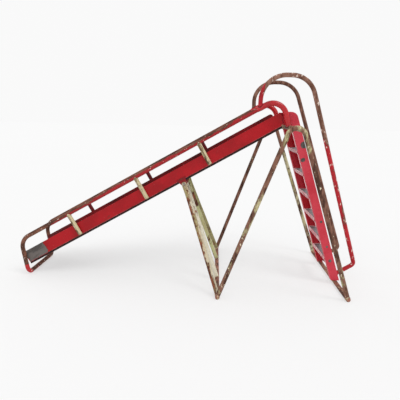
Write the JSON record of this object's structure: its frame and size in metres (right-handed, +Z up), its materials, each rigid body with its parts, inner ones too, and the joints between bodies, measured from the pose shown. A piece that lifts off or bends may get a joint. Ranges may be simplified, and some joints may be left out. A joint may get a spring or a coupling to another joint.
{
  "type": "children's garden slide",
  "caption": "Child's garden slide in steel pipe and sheet: chute with rails, looped handrails, ladder, side frames, folding strut support",
  "frame": {"origin": "middle of the floor under the slide's bounding box", "axes": "+Z up, +X along the slide towards the ladder (the chute runs down towards -X), +Y to the right side of a child sliding down"},
  "size_m": [2.1429, 1.1132, 1.2938],
  "materials": {
    "chute_red_paint": "old gloss red paint, scratched, rust along edges",
    "ladder_red_paint": "sun-faded pinkish red paint, chipped",
    "browned_red_paint": "red paint worn through to browned steel",
    "worn_cream_paint": "flaking cream and olive paint over rust",
    "worn_tread_steel": "tread tops worn to dull bare steel",
    "bolt_steel": "weathered zinc-plated steel"
  },
  "bodies": {
    "slide": {"inner_bracket_left": "chute_red_paint", "inner_bracket_right": "chute_red_paint", "chute_bed": "chute_red_paint", "chute_wall_left": "chute_red_paint", "chute_wall_right": "chute_red_paint", "foot_bar": "browned_red_paint", "handrail_left": "browned_red_paint", "handrail_right": "browned_red_paint", "ladder_foot_bar": "worn_cream_paint", "pivot_bolt_inner_left": "bolt_steel", "pivot_bolt_inner_right": "bolt_steel", "pivot_bolt_left": "bolt_steel", "pivot_bolt_right": "bolt_steel", "pivot_nut_inner_left": "bolt_steel", "pivot_nut_inner_right": "bolt_steel", "pivot_nut_left": "bolt_steel", "pivot_nut_right": "bolt_steel", "post_left_lower": "worn_cream_paint", "post_left_middle": "worn_cream_paint", "post_left_upper": "worn_cream_paint", "post_right_lower": "worn_cream_paint", "post_right_middle": "worn_cream_paint", "post_right_upper": "worn_cream_paint", "rail_hook_left": "chute_red_paint", "rail_hook_right": "chute_red_paint", "rail_left": "browned_red_paint", "rail_right": "browned_red_paint", "side_frame_left": "worn_cream_paint", "side_frame_right": "worn_cream_paint", "stringer_left": "ladder_red_paint", "stringer_right": "ladder_red_paint", "strut_bracket_left": "chute_red_paint", "strut_bracket_right": "chute_red_paint", "top_crossbar": "browned_red_paint", "tread_1": "worn_tread_steel", "tread_2": "worn_tread_steel", "tread_3": "worn_tread_steel", "tread_4": "worn_tread_steel", "tread_5": "worn_tread_steel", "tread_6": "worn_tread_steel", "tread_7": "worn_tread_steel"},
    "support": {"support_foot_bar": "worn_cream_paint", "strut_left": "worn_cream_paint", "strut_right": "worn_cream_paint", "strut_inner_left": "worn_cream_paint", "strut_inner_right": "worn_cream_paint"}
  },
  "joints": [
    {"name": "support_fold", "type": "hinge", "parent": "slide", "child": "support", "pos_m": [-0.02708, 0, 0.62069], "axis": [0, 1, 0], "range_deg": [0, 78]}
  ]
}
